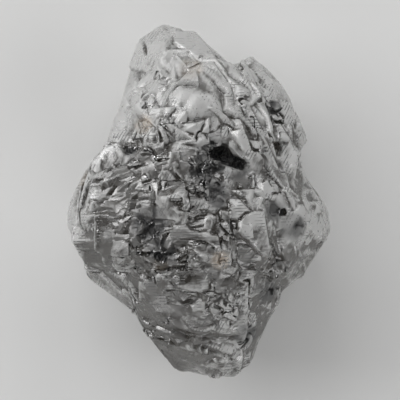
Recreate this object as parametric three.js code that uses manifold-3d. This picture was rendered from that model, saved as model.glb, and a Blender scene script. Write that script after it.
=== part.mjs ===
// Rough diamond: one natural stone, a knot of octahedral crystals grown into each other.
//
// The stone lies on its broad side: its length runs along Y, its width along X and its thickness along Z,
// and it rests on one flat octahedral face at Z = 0. Lobes stand round a core, each an octahedral crystal
// with worn sides that faces outwards. Thin growth plates lie on them, each nearly parallel to the surface
// it grew on, and etch pits are sunk between them. All are joined in one closed solid. Sizes are in
// millimetres.
import * as THREE from "three";
import { ConvexGeometry } from "three/addons/geometries/ConvexGeometry.js";
import { MeshSurfaceSampler } from "three/addons/math/MeshSurfaceSampler.js";
import { mergeVertices } from "three/addons/utils/BufferGeometryUtils.js";
import Module from "manifold-3d";

const wasm = await Module();
wasm.setup();

// Driving dimensions. Two domes are the smooth shape that the lobes follow, above and below the girdle.
const GIRDLE = 2.1; // height of the widest outline above the base
const UPPER_RISE = 2.9; // from the girdle to the top
const LOWER_DROP = 2.25; // from the girdle to the underside, which the base is cut from
const UPPER_FULLNESS = 2; // 2 for a round dome, more for a boxier one
const LOWER_FULLNESS = 2.7;
const ROOT = 0.5; // share of the way to the middle that each lobe's root reaches
const SHOULDER = 0.34; // from a lobe's top down to its outline
const OVERLAP = 1.13; // size of a lobe's outline against the area it is given, so that neighbours fuse
const RIM = 0.96; // share of the way out to the stone's outline that an overlap may reach
const CROWN = 0.66; // size of a lobe's top against its outline
const SIDE_SLOPES = [52, 18, -34]; // degrees that a lobe's sides lean in, from its top to its root
const PLATES = 60; // growth plates all over
const PLATE_SIZE = 0.34; // usual distance from a plate's middle to its sides
const PLATE_RISE = 0.07; // usual height of a plate over the lobe that it lies on
const PLATE_DEPTH = 0.3; // from a plate's face down to its buried side
const PLATE_TILT = 12; // degrees off its lobe's octahedral face, at most
const PLATE_LIMIT = 0.07; // how far a plate may stand out from its lobe
const PIT_DEPTH = 0.75; // share of a pit's size that it goes down
const GIRDLE_SWAY = 0.5; // how far the widest outline goes up and down round the girdle
const HEAD_SCALE = 0.8; // size of the outline high over the stone, which its sides lean in towards
const FOOT_SCALE = 0.91; // size of the outline at the base, which its sides lean in towards
const LENGTH = 9; // finished length
const SMALLEST_FEATURE = 0.008; // what joining may smooth away

// The stone's outline from above, as [X, Y] round its middle.
const OUTLINE = [
  [-0.91, 4.49], [-0.1, 4.19], [0.54, 3.75], [0.91, 3.41], [1.17, 3.59], [1.35, 3.62], [1.79, 3.41],
  [2.18, 2.97], [2.41, 2.58], [2.49, 2.22], [2.67, 1.78], [2.78, 1.52], [2.62, 1.21], [2.62, 0.82],
  [2.93, 0.27], [3.24, -0.25], [3.4, -0.82], [3.29, -1.05], [2.96, -1.36], [2.67, -1.88],
  [2.36, -2.19], [2.07, -2.35], [2.02, -2.63], [1.79, -3.07], [1.53, -3.7], [1.35, -4.01],
  [0.91, -4.51], [0.16, -4.51], [-0.16, -4.36], [-0.53, -4.36], [-0.97, -3.88], [-1.35, -3.38],
  [-1.45, -3], [-1.53, -2.88], [-2.28, -2.37], [-2.8, -1.93], [-2.88, -1.57], [-3.16, -1.13],
  [-3.37, -0.74], [-3.37, -0.3], [-3.16, 0.27], [-2.85, 0.71], [-2.36, 1.21], [-2.33, 1.52],
  [-2.05, 2.4], [-1.74, 3.54], [-1.53, 4.1],
];

// Directions of a diamond crystal's octahedral and dodecahedral faces, one octahedral face turned to +Z.
const UP = new THREE.Vector3(1, 1, 1).normalize();
const ACROSS = new THREE.Vector3(1, -1, 0).normalize();
const ALONG = new THREE.Vector3().crossVectors(UP, ACROSS);
const Z = new THREE.Vector3(0, 0, 1);
const SIGNS = [-1, 1];

function faceDirection(h, k, l) {
  const v = new THREE.Vector3(h, k, l).normalize();
  return new THREE.Vector3(v.dot(ACROSS), v.dot(ALONG), v.dot(UP));
}

const OCTAHEDRAL = SIGNS.flatMap((h) => SIGNS.flatMap((k) => SIGNS.map((l) => faceDirection(h, k, l))));
const DODECAHEDRAL = SIGNS.flatMap((a) =>
  SIGNS.flatMap((b) => [faceDirection(a, b, 0), faceDirection(a, 0, b), faceDirection(0, a, b)]),
);

// The same sequence of numbers from 0 to 1 each run.
function seededNumbers(seed) {
  let state = seed * 2654435761;
  return () => {
    state = (state + 0x6d2b79f5) | 0;
    let t = Math.imul(state ^ (state >>> 15), 1 | state);
    t = (t + Math.imul(t ^ (t >>> 7), 61 | t)) ^ t;
    return ((t ^ (t >>> 14)) >>> 0) / 4294967296;
  };
}

// A three.js geometry as a solid that can be joined and cut.
function solidOf(geometry) {
  const bare = geometry.clone();
  bare.deleteAttribute("normal");
  bare.deleteAttribute("uv");
  const merged = mergeVertices(bare, 1e-6);
  return new wasm.Manifold(
    new wasm.Mesh({
      numProp: 3,
      vertProperties: merged.attributes.position.array,
      triVerts: new Uint32Array(merged.index.array),
    }),
  );
}

function geometryOf(solid) {
  const { vertProperties, triVerts, numProp, numVert } = solid.getMesh();
  const positions = new Float32Array(numVert * 3);
  for (let i = 0; i < numVert; i++) {
    positions.set(vertProperties.subarray(i * numProp, i * numProp + 3), i * 3);
  }
  const geometry = new THREE.BufferGeometry();
  geometry.setAttribute("position", new THREE.BufferAttribute(positions, 3));
  geometry.setIndex(new THREE.BufferAttribute(triVerts, 1));
  return geometry;
}

// The point where three planes meet, or null where they don't.
function meetingPoint(a, b, c) {
  const m = new THREE.Matrix3().set(...a.normal.toArray(), ...b.normal.toArray(), ...c.normal.toArray());
  if (Math.abs(m.determinant()) < 1e-6) return null;
  return new THREE.Vector3(a.distance, b.distance, c.distance).applyMatrix3(m.invert());
}

// The corners of the convex shape behind all the planes, each { normal, distance }.
function cornersBehind(planes) {
  const corners = [];
  planes.forEach((a, i) =>
    planes.slice(i + 1).forEach((b, j) =>
      planes.slice(i + j + 2).forEach((c) => {
        const p = meetingPoint(a, b, c);
        if (p && planes.every((q) => q.normal.dot(p) <= q.distance + 1e-7)) corners.push(p);
      }),
    ),
  );
  return corners.filter((p, i) => !corners.slice(0, i).some((q) => q.distanceTo(p) < 1e-5));
}

// The convex solid behind all the planes, or null where they leave none.
function crystalBehind(planes) {
  const corners = cornersBehind(planes);
  return corners.length < 4 ? null : solidOf(new ConvexGeometry(corners));
}

// Planes with these normals, each moved out until it touches the last of the points.
function wrap(points, normals) {
  return normals.map((normal) => ({ normal, distance: Math.max(...points.map((p) => p.dot(normal))) }));
}

// Share of the way from the middle to the outline at which a place lies.
function outlineShare(x, y) {
  const shares = OUTLINE.map(([ax, ay], i) => {
    const [bx, by] = OUTLINE[(i + 1) % OUTLINE.length];
    const [dx, dy] = [bx - ax, by - ay];
    const across = x * dy - y * dx;
    const along = (ax * y - ay * x) / across;
    const share = across / (ax * dy - ay * dx);
    return share > 0 && along >= 0 && along <= 1 ? share : 0;
  });
  return Math.max(...shares);
}

// The dome on a side: how far it goes from the girdle, and how full it is.
function domeOn(side) {
  if (side > 0) return { reach: UPPER_RISE, fullness: UPPER_FULLNESS };
  return { reach: LOWER_DROP, fullness: LOWER_FULLNESS };
}

// A place brought back to a share of the way out to the outline, if it lies beyond that.
function within(x, y, limit) {
  const back = Math.min(1, limit / outlineShare(x, y));
  return [x * back, y * back];
}

// How far inside the dome a point lies: 1 on it, less inside it.
function domeLevel(x, y, z) {
  const { reach, fullness } = domeOn(z - GIRDLE);
  return outlineShare(x, y) ** fullness + (Math.abs(z - GIRDLE) / reach) ** fullness;
}

// Height of the dome over or under a place, on its upper (1) or lower (-1) side.
function domeHeight(x, y, side) {
  const { reach, fullness } = domeOn(side);
  return GIRDLE + side * reach * Math.max(0, 1 - outlineShare(x, y) ** fullness) ** (1 / fullness);
}

// The direction that the dome faces at a place.
function domeDirection(x, y, side) {
  const z = domeHeight(x, y, side);
  const step = 0.3;
  const slope = (dx, dy, dz) => domeLevel(x + dx, y + dy, z + dz) - domeLevel(x - dx, y - dy, z - dz);
  return new THREE.Vector3(slope(step, 0, 0), slope(0, step, 0), slope(0, 0, step)).normalize();
}

// The turn that brings a crystal's upper octahedral face to a direction, after a spin in degrees about it.
function facing(direction, spin) {
  const turn = new THREE.Quaternion().setFromUnitVectors(Z, direction);
  return turn.multiply(new THREE.Quaternion().setFromAxisAngle(Z, THREE.MathUtils.degToRad(spin)));
}

// The faces of one lobe: its outline on the dome, drawn in to a top that faces outwards and to a root near
// the middle of the stone.
function lobeFaces({ outline, side = 1, lift = 0, lean = [0, 0], spin = 5, crown = CROWN }) {
  const count = outline.length;
  const middle = outline.reduce(([a, b], [x, y]) => [a + x / count, b + y / count], [0, 0]);
  const spread = outline.map(([x, y]) =>
    within(
      middle[0] + OVERLAP * (x - middle[0]),
      middle[1] + OVERLAP * (y - middle[1]),
      Math.max(RIM, outlineShare(x, y)),
    ),
  );
  const out = domeDirection(...middle, side).add(new THREE.Vector3(...lean, 0)).normalize();
  const centre = new THREE.Vector3(...middle, domeHeight(...middle, side)).addScaledVector(out, lift);
  const heart = new THREE.Vector3(0, 0, GIRDLE);
  const rim = spread.map(([x, y]) => new THREE.Vector3(x, y, domeHeight(x, y, side)));
  const edge = rim.map((p) => p.clone().addScaledVector(Z, side * (lift - SHOULDER)));
  const top = rim.map((p) => {
    const q = p.clone().lerp(centre, 1 - crown);
    q.addScaledVector(out, out.dot(centre.clone().sub(q)));
    return new THREE.Vector3(...within(q.x, q.y, RIM), q.z);
  });
  const root = edge.map((p) => p.clone().lerp(heart, ROOT));
  const turn = facing(out, spin);
  const octahedral = OCTAHEDRAL.map((n) => n.clone().applyQuaternion(turn));
  const sides = edge.flatMap((p, i) => {
    const away = edge[(i + 1) % edge.length].clone().sub(p).cross(out).normalize();
    if (away.dot(p.clone().sub(centre)) < 0) away.negate();
    return SIDE_SLOPES.map((degrees) => {
      const a = THREE.MathUtils.degToRad(degrees);
      return away.clone().multiplyScalar(Math.cos(a)).addScaledVector(out, Math.sin(a)).normalize();
    });
  });
  return wrap([...edge, ...top, ...root], [...octahedral, ...sides]);
}

// The core: one crystal with octahedral and dodecahedral faces, round a smaller copy of the whole outline.
function core({ outline, base, top, flat, crown }) {
  const ring = (z, scale) => outline.map(([x, y]) => new THREE.Vector3(x * scale, y * scale, z));
  const points = [...ring(GIRDLE, 1), ...ring(top, crown), ...ring(base, flat)];
  const turn = facing(Z, 5);
  const normals = [...OCTAHEDRAL, ...DODECAHEDRAL].map((n) => n.clone().applyQuaternion(turn));
  return crystalBehind(wrap(points, normals));
}

// The faces of one growth plate: an octahedral crystal flattened on one face, its sides at uneven distances.
function plateFaces(place, direction, spin, size, rise, random) {
  const turn = facing(direction, spin);
  const stretch = random() < 0.4 ? 1.9 : 1;
  return OCTAHEDRAL.map((n) => {
    const normal = n.clone().applyQuaternion(turn);
    const sideways = size * (0.45 + 0.9 * random()) * (Math.abs(n.x) > 0.5 ? 1 : stretch);
    const upright = n.z > 0 ? rise : PLATE_DEPTH;
    return { normal, distance: (Math.abs(n.z) < 0.9 ? sideways : upright) + normal.dot(place) };
  });
}

// How far outside a crystal a point lies: 0 on its surface, less inside.
function outside(point, faces) {
  return Math.max(...faces.map(({ normal, distance }) => normal.dot(point) - distance));
}

// Growth plates scattered over the lobes, each turned to the surface there and kept close to its own lobe.
function growthPlates(solid, lobes) {
  const random = seededNumbers(7);
  const geometry = geometryOf(solid).toNonIndexed();
  geometry.computeVertexNormals();
  const sampler = new MeshSurfaceSampler(new THREE.Mesh(geometry)).setRandomGenerator(random).build();
  const place = new THREE.Vector3();
  const normal = new THREE.Vector3();
  const plates = [];
  while (plates.length < PLATES) {
    sampler.sample(place, normal);
    const own = lobes.find((faces) => Math.abs(outside(place, faces)) < 1e-4);
    if (!own || place.z < 0.25 || (place.z < GIRDLE + 1 && random() < 0.7)) continue;
    const sway = new THREE.Vector3(random() - 0.5, random() - 0.5, random() - 0.5);
    const tilt = 2 * Math.tan(THREE.MathUtils.degToRad(PLATE_TILT));
    const direction = normal.clone().addScaledVector(sway, tilt).normalize();
    const spin = 5 + 60 * Math.floor(6 * random());
    const size = PLATE_SIZE * (0.6 + 1.3 * random() ** 2);
    const rise = PLATE_RISE * (0.3 + 1.2 * random());
    const faces = plateFaces(place, direction, spin, size, rise, random);
    const bounds = own.map((face) => ({ normal: face.normal, distance: face.distance + PLATE_LIMIT }));
    const corners = cornersBehind(faces);
    const cutting = bounds.filter((bound) => corners.some((p) => bound.normal.dot(p) > bound.distance));
    const made = crystalBehind([...faces, ...cutting]);
    if (made) plates.push(made);
  }
  return plates;
}

// A block that nothing on the stone stands out from: the outline at an uneven height round the girdle, drawn
// in above and below it.
function outlineBlock() {
  const shape = new THREE.Shape(OUTLINE.map(([x, y]) => new THREE.Vector2(x, y)));
  const block = new THREE.ExtrudeGeometry(shape, { depth: 2, steps: 2, bevelEnabled: false });
  const corners = block.getAttribute("position");
  for (let i = 0; i < corners.count; i++) {
    const [x, y, level] = [corners.getX(i), corners.getY(i), Math.round(corners.getZ(i))];
    const z = [0, GIRDLE + GIRDLE_SWAY * Math.sin(7 * x + 5 * y), GIRDLE + 2 * UPPER_RISE][level];
    const scale = [FOOT_SCALE, 1, HEAD_SCALE][level];
    corners.setXYZ(i, x * scale, y * scale, z);
  }
  return solidOf(block);
}

// Pits with octahedral sides, sunk in the upper surface.
function etchPits(solid) {
  const mesh = new THREE.Mesh(geometryOf(solid));
  return PITS.map(([x, y, size, spin]) => {
    const [hit] = new THREE.Raycaster(new THREE.Vector3(x, y, 10), Z.clone().negate()).intersectObject(mesh);
    const turn = facing(domeDirection(x, y, 1), spin);
    const octahedron = OCTAHEDRAL.map((n) => {
      const normal = n.clone().applyQuaternion(turn);
      const distance = Math.abs(n.z) < 0.9 ? size * (n.x > 0.1 ? 0.8 : 0.55) : PIT_DEPTH * size;
      return { normal, distance: distance + normal.dot(hit.point) };
    });
    return crystalBehind(octahedron);
  });
}

const CORE = {
  outline: [
    [-2.3, 0.7], [-1.4, 2.3], [-0.9, 3.3], [0.8, 3], [1.9, 2], [2.3, 0.3],
    [2.5, -1], [1.7, -2.4], [1.1, -3.5], [-0.5, -3.4], [-1.5, -2.5], [-2.3, -1.6],
  ],
  base: 0,
  top: 4.3,
  flat: 0.45,
  crown: 0.3,
};

// The lobes, each by its outline as [X, Y].
const LOBES = [
  // upper wedge
  {
    outline: [
      [-0.93, 4.62], [-0.51, 4.48], [0.03, 4.19], [0.56, 3.87], [1.01, 3.5], [0.72, 3.18],
      [0.03, 3.02], [-0.61, 2.67], [-0.88, 2.91], [-1.09, 3.29], [-1.2, 3.98],
    ],
    lift: -0.05, crown: 0.45, lean: [-0.12, 0.05],
  },
  {
    outline: [
      [-0.93, 4.62], [-1.09, 4.51], [-1.3, 4.19], [-1.25, 3.66], [-1.09, 3.23], [-0.77, 2.86],
      [-0.56, 3.18], [-0.77, 4.11],
    ],
    lift: -0.12, crown: 0.4, lean: [-0.2, 0], spin: 25,
  },
  // flank on the left of the wedge: a low tall strip, a shoulder and a knot of blocks
  {
    outline: [
      [-1.52, 4.22], [-1.78, 3.66], [-2.05, 2.51], [-2.37, 1.53], [-2.31, 1.16], [-1.89, 1.32],
      [-1.57, 2.11], [-1.36, 3.05], [-1.25, 3.71],
    ],
    lift: -0.5, crown: 0.5,
  },
  {
    outline: [
      [-1.52, 4.22], [-1.2, 4.14], [-1.04, 3.29], [-1.3, 2.97], [-1.73, 3.07],
    ],
    lift: -0.2, crown: 0.5, spin: 35,
  },
  {
    outline: [
      [-1.38, 2.91], [-1.04, 3.13], [-0.74, 2.7], [-0.77, 2.01], [-0.88, 1.45], [-1.57, 1.9],
      [-1.57, 2.51],
    ],
    lift: -0.02, crown: 0.45, lean: [-0.1, 0.1], spin: 20,
  },
  {
    outline: [
      [-2.31, 1.26], [-2, 1.64], [-1.68, 2.01], [-1.3, 2.17], [-1.09, 1.74], [-1.25, 1.32],
      [-1.84, 1.21],
    ],
    lift: -0.12, crown: 0.5, lean: [-0.1, 0.1], spin: 50,
  },
  {
    outline: [
      [-1.3, 1.9], [-0.82, 2.06], [-0.77, 1.53], [-0.93, 1.26], [-1.3, 1.26],
    ],
    lift: 0.02, crown: 0.6, lean: [0, 0.2], spin: 5,
  },
  // thumb: a rounded lump with a second one on its lower end
  {
    outline: [
      [0.37, 3.55], [0.61, 3.44], [0.88, 2.86], [0.88, 2.22], [0.61, 1.9], [0.03, 2.06], [-0.45, 2.33],
      [-0.61, 2.65], [-0.08, 3.18],
    ],
    lift: 0.2, crown: 0.5, lean: [-0.1, 0.05], spin: 12,
  },
  {
    outline: [
      [-0.61, 2.7], [-0.08, 2.65], [0.4, 2.43], [0.67, 2.01], [0.61, 1.58], [0.24, 1.53], [0.03, 1.26],
      [-0.51, 1.48], [-0.8, 1.96], [-0.77, 2.43],
    ],
    lift: 0.26, crown: 0.55, lean: [-0.05, -0.15], spin: 30,
  },
  // fan of narrow ridges beside the thumb
  {
    outline: [
      [0.56, 3.5], [0.77, 3.39], [1.09, 2.7], [1.17, 2.17], [0.98, 1.96], [0.82, 2.43], [0.61, 3.02],
    ],
    lift: 0.22, crown: 0.4, lean: [0.1, 0.05], spin: 15,
  },
  {
    outline: [
      [0.61, 2.06], [0.82, 2.19], [1.06, 1.58], [1.25, 0.94], [1.12, 0.86], [0.82, 1.32],
    ],
    lift: 0.24, crown: 0.35, lean: [0.05, -0.1], spin: 25,
  },
  {
    outline: [
      [0.82, 3.34], [1.09, 3.13], [1.41, 2.54], [1.52, 2.11], [1.3, 2.01], [1.04, 2.54],
    ],
    lift: 0.12, crown: 0.4, lean: [0.2, 0.05], spin: 10,
  },
  {
    outline: [
      [1.09, 2.33], [1.41, 2.33], [1.68, 1.69], [1.86, 0.89], [1.68, 0.81], [1.36, 1.42],
    ],
    lift: 0.16, crown: 0.35, lean: [0.15, -0.1], spin: 20,
  },
  {
    outline: [
      [0.72, 1.9], [1.09, 2.01], [1.41, 1.32], [1.52, 0.84], [1.2, 0.89], [0.88, 1.32],
    ],
    lift: 0.05, crown: 0.5, lean: [0.05, -0.15], spin: 40,
  },
  // shells at the upper right
  {
    outline: [
      [1.04, 3.55], [1.36, 3.72], [1.84, 3.5], [2.23, 3.05], [2.5, 2.62], [2.53, 2.17], [2.15, 2.33],
      [1.68, 2.7], [1.25, 3.18],
    ],
    lift: -0.12, crown: 0.5, lean: [0.15, 0.1],
  },
  {
    outline: [
      [1.25, 3.29], [1.68, 2.86], [2.21, 2.38], [2.58, 2.11], [2.85, 1.56], [2.63, 1.26], [2.21, 1.58],
      [1.68, 1.9], [1.36, 2.54],
    ],
    lift: -0.08, crown: 0.5, lean: [0.2, 0], spin: 28,
  },
  {
    outline: [
      [1.73, 2.22], [2.15, 2.22], [2.61, 1.58], [2.69, 1.16], [2.42, 1.26], [1.94, 1.53],
    ],
    lift: 0.05, crown: 0.5, lean: [0.2, 0], spin: 50,
  },
  {
    outline: [
      [1.68, 1.69], [2.21, 1.48], [2.66, 1.1], [2.71, 0.73], [2.58, 0.36], [1.94, 0.41], [1.73, 0.89],
    ],
    lift: -0.02, crown: 0.55, lean: [0.15, 0], spin: 15,
  },
  // left lobe, and the strip between it and the body
  {
    outline: [
      [-2.37, 1.32], [-2.9, 0.76], [-3.27, 0.28], [-3.47, -0.31], [-3.46, -0.78], [-3.25, -1.16],
      [-2.95, -1.66], [-2.53, -1.34], [-2.42, -0.01],
    ],
    lift: -0.5, crown: 0.5,
  },
  {
    outline: [
      [-2.29, 1.21], [-2.63, 0.63], [-2.85, -0.39], [-2.95, -1.4], [-2.79, -1.82], [-2.42, -1.66],
      [-2.31, -0.39], [-2, 0.73],
    ],
    lift: -0.18, crown: 0.5, lean: [-0.1, 0], spin: 20,
  },
  // blocks of the left middle, with level ridges
  {
    outline: [
      [-2.31, 1.1], [-1.78, 1.1], [-1.09, 1.05], [-0.93, 0.57], [-1.3, 0.41], [-2, 0.41],
      [-2.53, 0.25],
    ],
    lift: 0.02, crown: 0.6, lean: [0, 0.22], spin: 5,
  },
  {
    outline: [
      [-2.47, 0.36], [-1.89, 0.52], [-1.2, 0.47], [-1.04, -0.01], [-1.41, -0.33], [-2.15, -0.39],
      [-2.63, -0.33],
    ],
    lift: 0.02, crown: 0.6, lean: [0, -0.12], spin: 38,
  },
  {
    outline: [
      [-2.74, -0.23], [-1.57, -0.33], [-1.04, -0.17], [-0.93, -0.6], [-1.46, -0.81], [-2.74, -0.81],
    ],
    lift: -0.02, crown: 0.6, lean: [-0.15, 0.1], spin: 12,
  },
  {
    outline: [
      [-2.9, -0.76], [-1.52, -0.7], [-1.3, -1.08], [-1.46, -1.56], [-2.15, -1.66], [-3.01, -1.56],
    ],
    lift: 0.05, crown: 0.65, lean: [-0.05, -0.08], spin: 8,
  },
  // plates of the centre
  {
    outline: [
      [-0.88, 1.1], [-0.35, 1.32], [0.08, 1.21], [0.19, 0.78], [-0.24, 0.41], [-0.88, 0.47],
    ],
    lift: 0.02, crown: 0.6, lean: [0.1, 0.18], spin: 15,
  },
  {
    outline: [
      [-1.09, 0.52], [-0.56, 0.63], [0.03, 0.41], [0.19, -0.12], [-0.24, -0.39], [-0.93, -0.28],
    ],
    lift: 0, crown: 0.5, lean: [-0.12, 0.05], spin: 48,
  },
  {
    outline: [
      [0.13, 0.63], [0.67, 0.78], [1.25, 0.41], [1.2, -0.07], [0.72, -0.33], [0.13, -0.17],
    ],
    lift: -0.02, crown: 0.45, lean: [0.12, 0.1], spin: 32,
  },
  {
    outline: [
      [1.04, 0.57], [1.68, 0.84], [2.26, 0.57], [2.42, -0.01], [1.94, -0.33], [1.2, -0.17],
    ],
    lift: -0.02, crown: 0.5, lean: [0.05, 0.15], spin: 10,
  },
  {
    outline: [
      [-1.36, -0.7], [-0.4, -0.7], [0.56, -0.55], [0.67, -0.86], [0.45, -1.4], [-0.4, -1.56],
      [-1.25, -1.5], [-1.41, -1.08],
    ],
    lift: 0.1, crown: 0.75, lean: [0, 0.2], spin: 5,
  },
  {
    outline: [
      [-1.09, -0.17], [-0.51, -0.01], [0.03, -0.17], [0.13, -0.65], [-0.35, -0.86], [-0.93, -0.7],
    ],
    lift: -0.02, crown: 0.5, lean: [-0.12, -0.05], spin: 22,
  },
  {
    outline: [
      [-0.13, -0.23], [0.4, 0.04], [0.98, -0.07], [1.04, -0.49], [0.56, -0.81], [-0.03, -0.76],
    ],
    lift: 0.04, crown: 0.45, lean: [0.1, -0.12], spin: 40,
  },
  {
    outline: [
      [0.72, -0.01], [1.25, 0.09], [1.68, -0.33], [1.73, -1.18], [1.41, -1.66], [0.88, -1.56],
      [0.56, -0.97],
    ],
    lift: 0.1, crown: 0.5, lean: [0.12, 0], spin: 14,
  },
  // blocks between the middle and the lower lobe
  {
    outline: [
      [-1.57, -1.66], [-1.14, -1.34], [-0.72, -1.5], [-0.61, -2.14], [-1.04, -2.46], [-1.52, -2.25],
    ],
    lift: 0.02, crown: 0.5, lean: [-0.15, -0.05], spin: 44,
  },
  {
    outline: [
      [-0.88, -1.72], [-0.4, -1.4], [0.03, -1.66], [-0.03, -2.25], [-0.45, -2.57], [-0.82, -2.35],
    ],
    lift: 0.08, crown: 0.45, lean: [-0.05, -0.15], spin: 20,
  },
  {
    outline: [
      [-0.19, -1.72], [0.4, -1.29], [0.98, -1.45], [1.25, -1.88], [0.98, -2.41], [0.4, -2.57],
      [-0.08, -2.25],
    ],
    lift: 0.06, crown: 0.5, lean: [0.1, 0.05], spin: 17,
  },
  {
    outline: [
      [-1.52, -2.3], [-1.04, -2.19], [-0.45, -2.46], [-0.35, -2.94], [-0.82, -3.15], [-1.36, -3.05],
    ],
    lift: 0.02, crown: 0.5, lean: [-0.1, -0.25], spin: 30,
  },
  {
    outline: [
      [-0.56, -2.51], [0.03, -2.3], [0.45, -2.62], [0.4, -3.15], [-0.19, -3.26], [-0.51, -3.05],
    ],
    lift: 0.04, crown: 0.45, lean: [0, -0.15], spin: 8,
  },
  {
    outline: [
      [0.24, -2.46], [0.82, -2.25], [1.25, -2.67], [1.04, -3.15], [0.45, -3.26], [0.19, -2.94],
    ],
    lift: 0, crown: 0.5, lean: [0.1, -0.25], spin: 48,
  },
  {
    outline: [
      [0.93, -1.45], [1.46, -1.4], [1.78, -1.88], [1.84, -2.57], [1.46, -2.89], [0.98, -2.83],
      [0.77, -2.25],
    ],
    lift: 0.02, crown: 0.5, lean: [0.15, -0.05], spin: 36,
  },
  {
    outline: [
      [-3.01, -1.5], [-2.15, -1.56], [-1.52, -1.56], [-1.41, -2.19], [-1.46, -2.99], [-1.94, -2.73],
      [-2.42, -2.41], [-2.9, -1.98],
    ],
    lift: -0.12, crown: 0.5, lean: [-0.12, -0.12], spin: 12,
  },
  // right lobe, in three steps
  {
    outline: [
      [1.68, -0.01], [2.26, 0.15], [2.63, -0.17], [2.69, -0.86], [2.26, -1.29], [1.78, -1.18],
    ],
    lift: 0, crown: 0.5, lean: [0.1, 0], spin: 26,
  },
  {
    outline: [
      [2.26, 0.36], [2.74, 0.73], [3.01, 0.28], [3.33, -0.25], [3.51, -0.84], [3.38, -1.1],
      [2.9, -1.24], [2.47, -0.97], [2.31, -0.28],
    ],
    lift: -0.1, crown: 0.5, lean: [0.1, 0], spin: 8,
  },
  {
    outline: [
      [1.84, -1.08], [2.58, -0.97], [3.17, -1.13], [3.03, -1.42], [2.74, -1.93], [2.42, -2.27],
      [2.13, -2.46], [1.89, -2.04], [1.73, -1.5],
    ],
    lift: -0.05, crown: 0.5, lean: [0.1, -0.1], spin: 22,
  },
  // lower lobe
  {
    outline: [
      [-1.49, -3.05], [-0.88, -3.1], [-0.24, -3.15], [0.13, -3.58], [0.03, -4.16], [-0.19, -4.48],
      [-0.56, -4.48], [-1.01, -3.98], [-1.38, -3.5],
    ],
    lift: -0.1, crown: 0.5, lean: [-0.05, -0.05],
  },
  {
    outline: [
      [-0.35, -3.21], [0.4, -3.26], [0.88, -3.47], [0.98, -4.06], [0.88, -4.64], [0.16, -4.64],
      [-0.19, -4.32], [-0.29, -3.74],
    ],
    lift: 0, crown: 0.5, lean: [0, -0.05], spin: 30,
  },
  {
    outline: [
      [0.72, -3.1], [1.09, -2.78], [1.68, -2.57], [2.07, -2.67], [1.84, -3.15], [1.57, -3.79],
      [1.36, -4.16], [0.93, -4.64], [0.67, -4.06],
    ],
    lift: -0.02, crown: 0.5, lean: [0.1, -0.05], spin: 18,
  },
  // underside
  {
    outline: [[-1.5, 4.05], [-0.2, 4.2], [0.95, 3.4], [0.7, 1.6], [-0.9, 1.5], [-1.7, 2.8]],
    side: -1, lean: [0, 0.2],
  },
  {
    outline: [[0.6, 3.5], [2, 3.1], [2.7, 1.6], [2.5, 0.4], [0.8, 0.6], [0.4, 2]],
    side: -1, spin: 30, lift: 0.1,
  },
  {
    outline: [[-1.6, 2.5], [-0.7, 2.1], [-0.6, 0.2], [-2.4, 0.1], [-2.2, 1]],
    side: -1, spin: 18,
  },
  {
    outline: [[1.8, 0.9], [2.9, 0.3], [3.35, -0.8], [2.5, -2.1], [1, -1.7], [0.9, 0.3]],
    side: -1, lean: [-0.1, 0],
  },
  {
    outline: [[-0.9, 1.8], [1, 1.6], [1.3, -0.5], [0.6, -1.4], [-0.9, -1.1], [-1.4, 0.3]],
    side: -1, spin: 50,
  },
  {
    outline: [[-2.5, 0.9], [-1, 0.6], [-0.8, -1.5], [-2.7, -1.9], [-3.35, -0.5]],
    side: -1, spin: 40, lift: 0.05,
  },
  {
    outline: [[-2.8, -1.3], [-0.9, -1.1], [-0.3, -2.9], [-1.5, -3], [-2.4, -2.3]],
    side: -1, lean: [0, -0.1],
  },
  {
    outline: [[-1.5, -2.8], [-0.5, -2], [1, -2], [1.6, -3.4], [0.9, -4.45], [-0.5, -4.35]],
    side: -1, spin: 25,
  },
  {
    outline: [[0.5, -1], [2, -1.2], [2.5, -2.1], [1.9, -3], [0.7, -3.1]],
    side: -1, spin: 10, lift: 0.1,
  },
];

// Pits, each [X, Y, size, turn in degrees].
const PITS = [
  [0.35, 1.05, 0.5, 5],
  [0.88, 0.84, 0.42, 25],
  [-1.17, -0.6, 0.36, 65],
  [-0.88, -1.24, 0.34, 5],
  [1.84, -0.28, 0.26, 20],
  [2.29, -0.65, 0.3, 5],
  [1.7, -2.27, 0.24, 65],
  [1.17, -3.34, 0.26, 5],
  [0.03, 0.73, 0.3, 35],
  [0.4, 0.2, 0.26, 5],
  [1.84, 2.22, 0.3, 15],
  [-1.62, 1.16, 0.3, 5],
  [-2.1, 1.1, 0.26, 25],
];

// Joins the crystals, cuts the base flat, and sets the stone down, the middle of its box over the origin.
function joinedStone() {
  const faces = LOBES.map(lobeFaces);
  const lobes = wasm.Manifold.union([core(CORE), ...faces.map(crystalBehind)]);
  const plated = wasm.Manifold.union([lobes, ...growthPlates(lobes, faces)]).intersect(outlineBlock());
  const shells = plated.subtract(wasm.Manifold.union(etchPits(plated))).decompose();
  const outer = shells.reduce((a, b) => (b.volume() > a.volume() ? b : a));
  const whole = outer.simplify(SMALLEST_FEATURE);
  const { min, max } = whole.boundingBox();
  const size = LENGTH / (max[1] - min[1]);
  return whole.translate([-(min[0] + max[0]) / 2, -(min[1] + max[1]) / 2, -min[2]]).scale(size);
}

const diamondMaterial = new THREE.MeshStandardMaterial({
  color: 0xb9babb,
  roughness: 0.2,
  metalness: 0,
  transparent: true,
  opacity: 0.6,
});

const stone = new THREE.Group();
const diamond = new THREE.Mesh(geometryOf(joinedStone()), diamondMaterial);
diamond.name = "rough_diamond";
stone.add(diamond);

export default stone;
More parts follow.
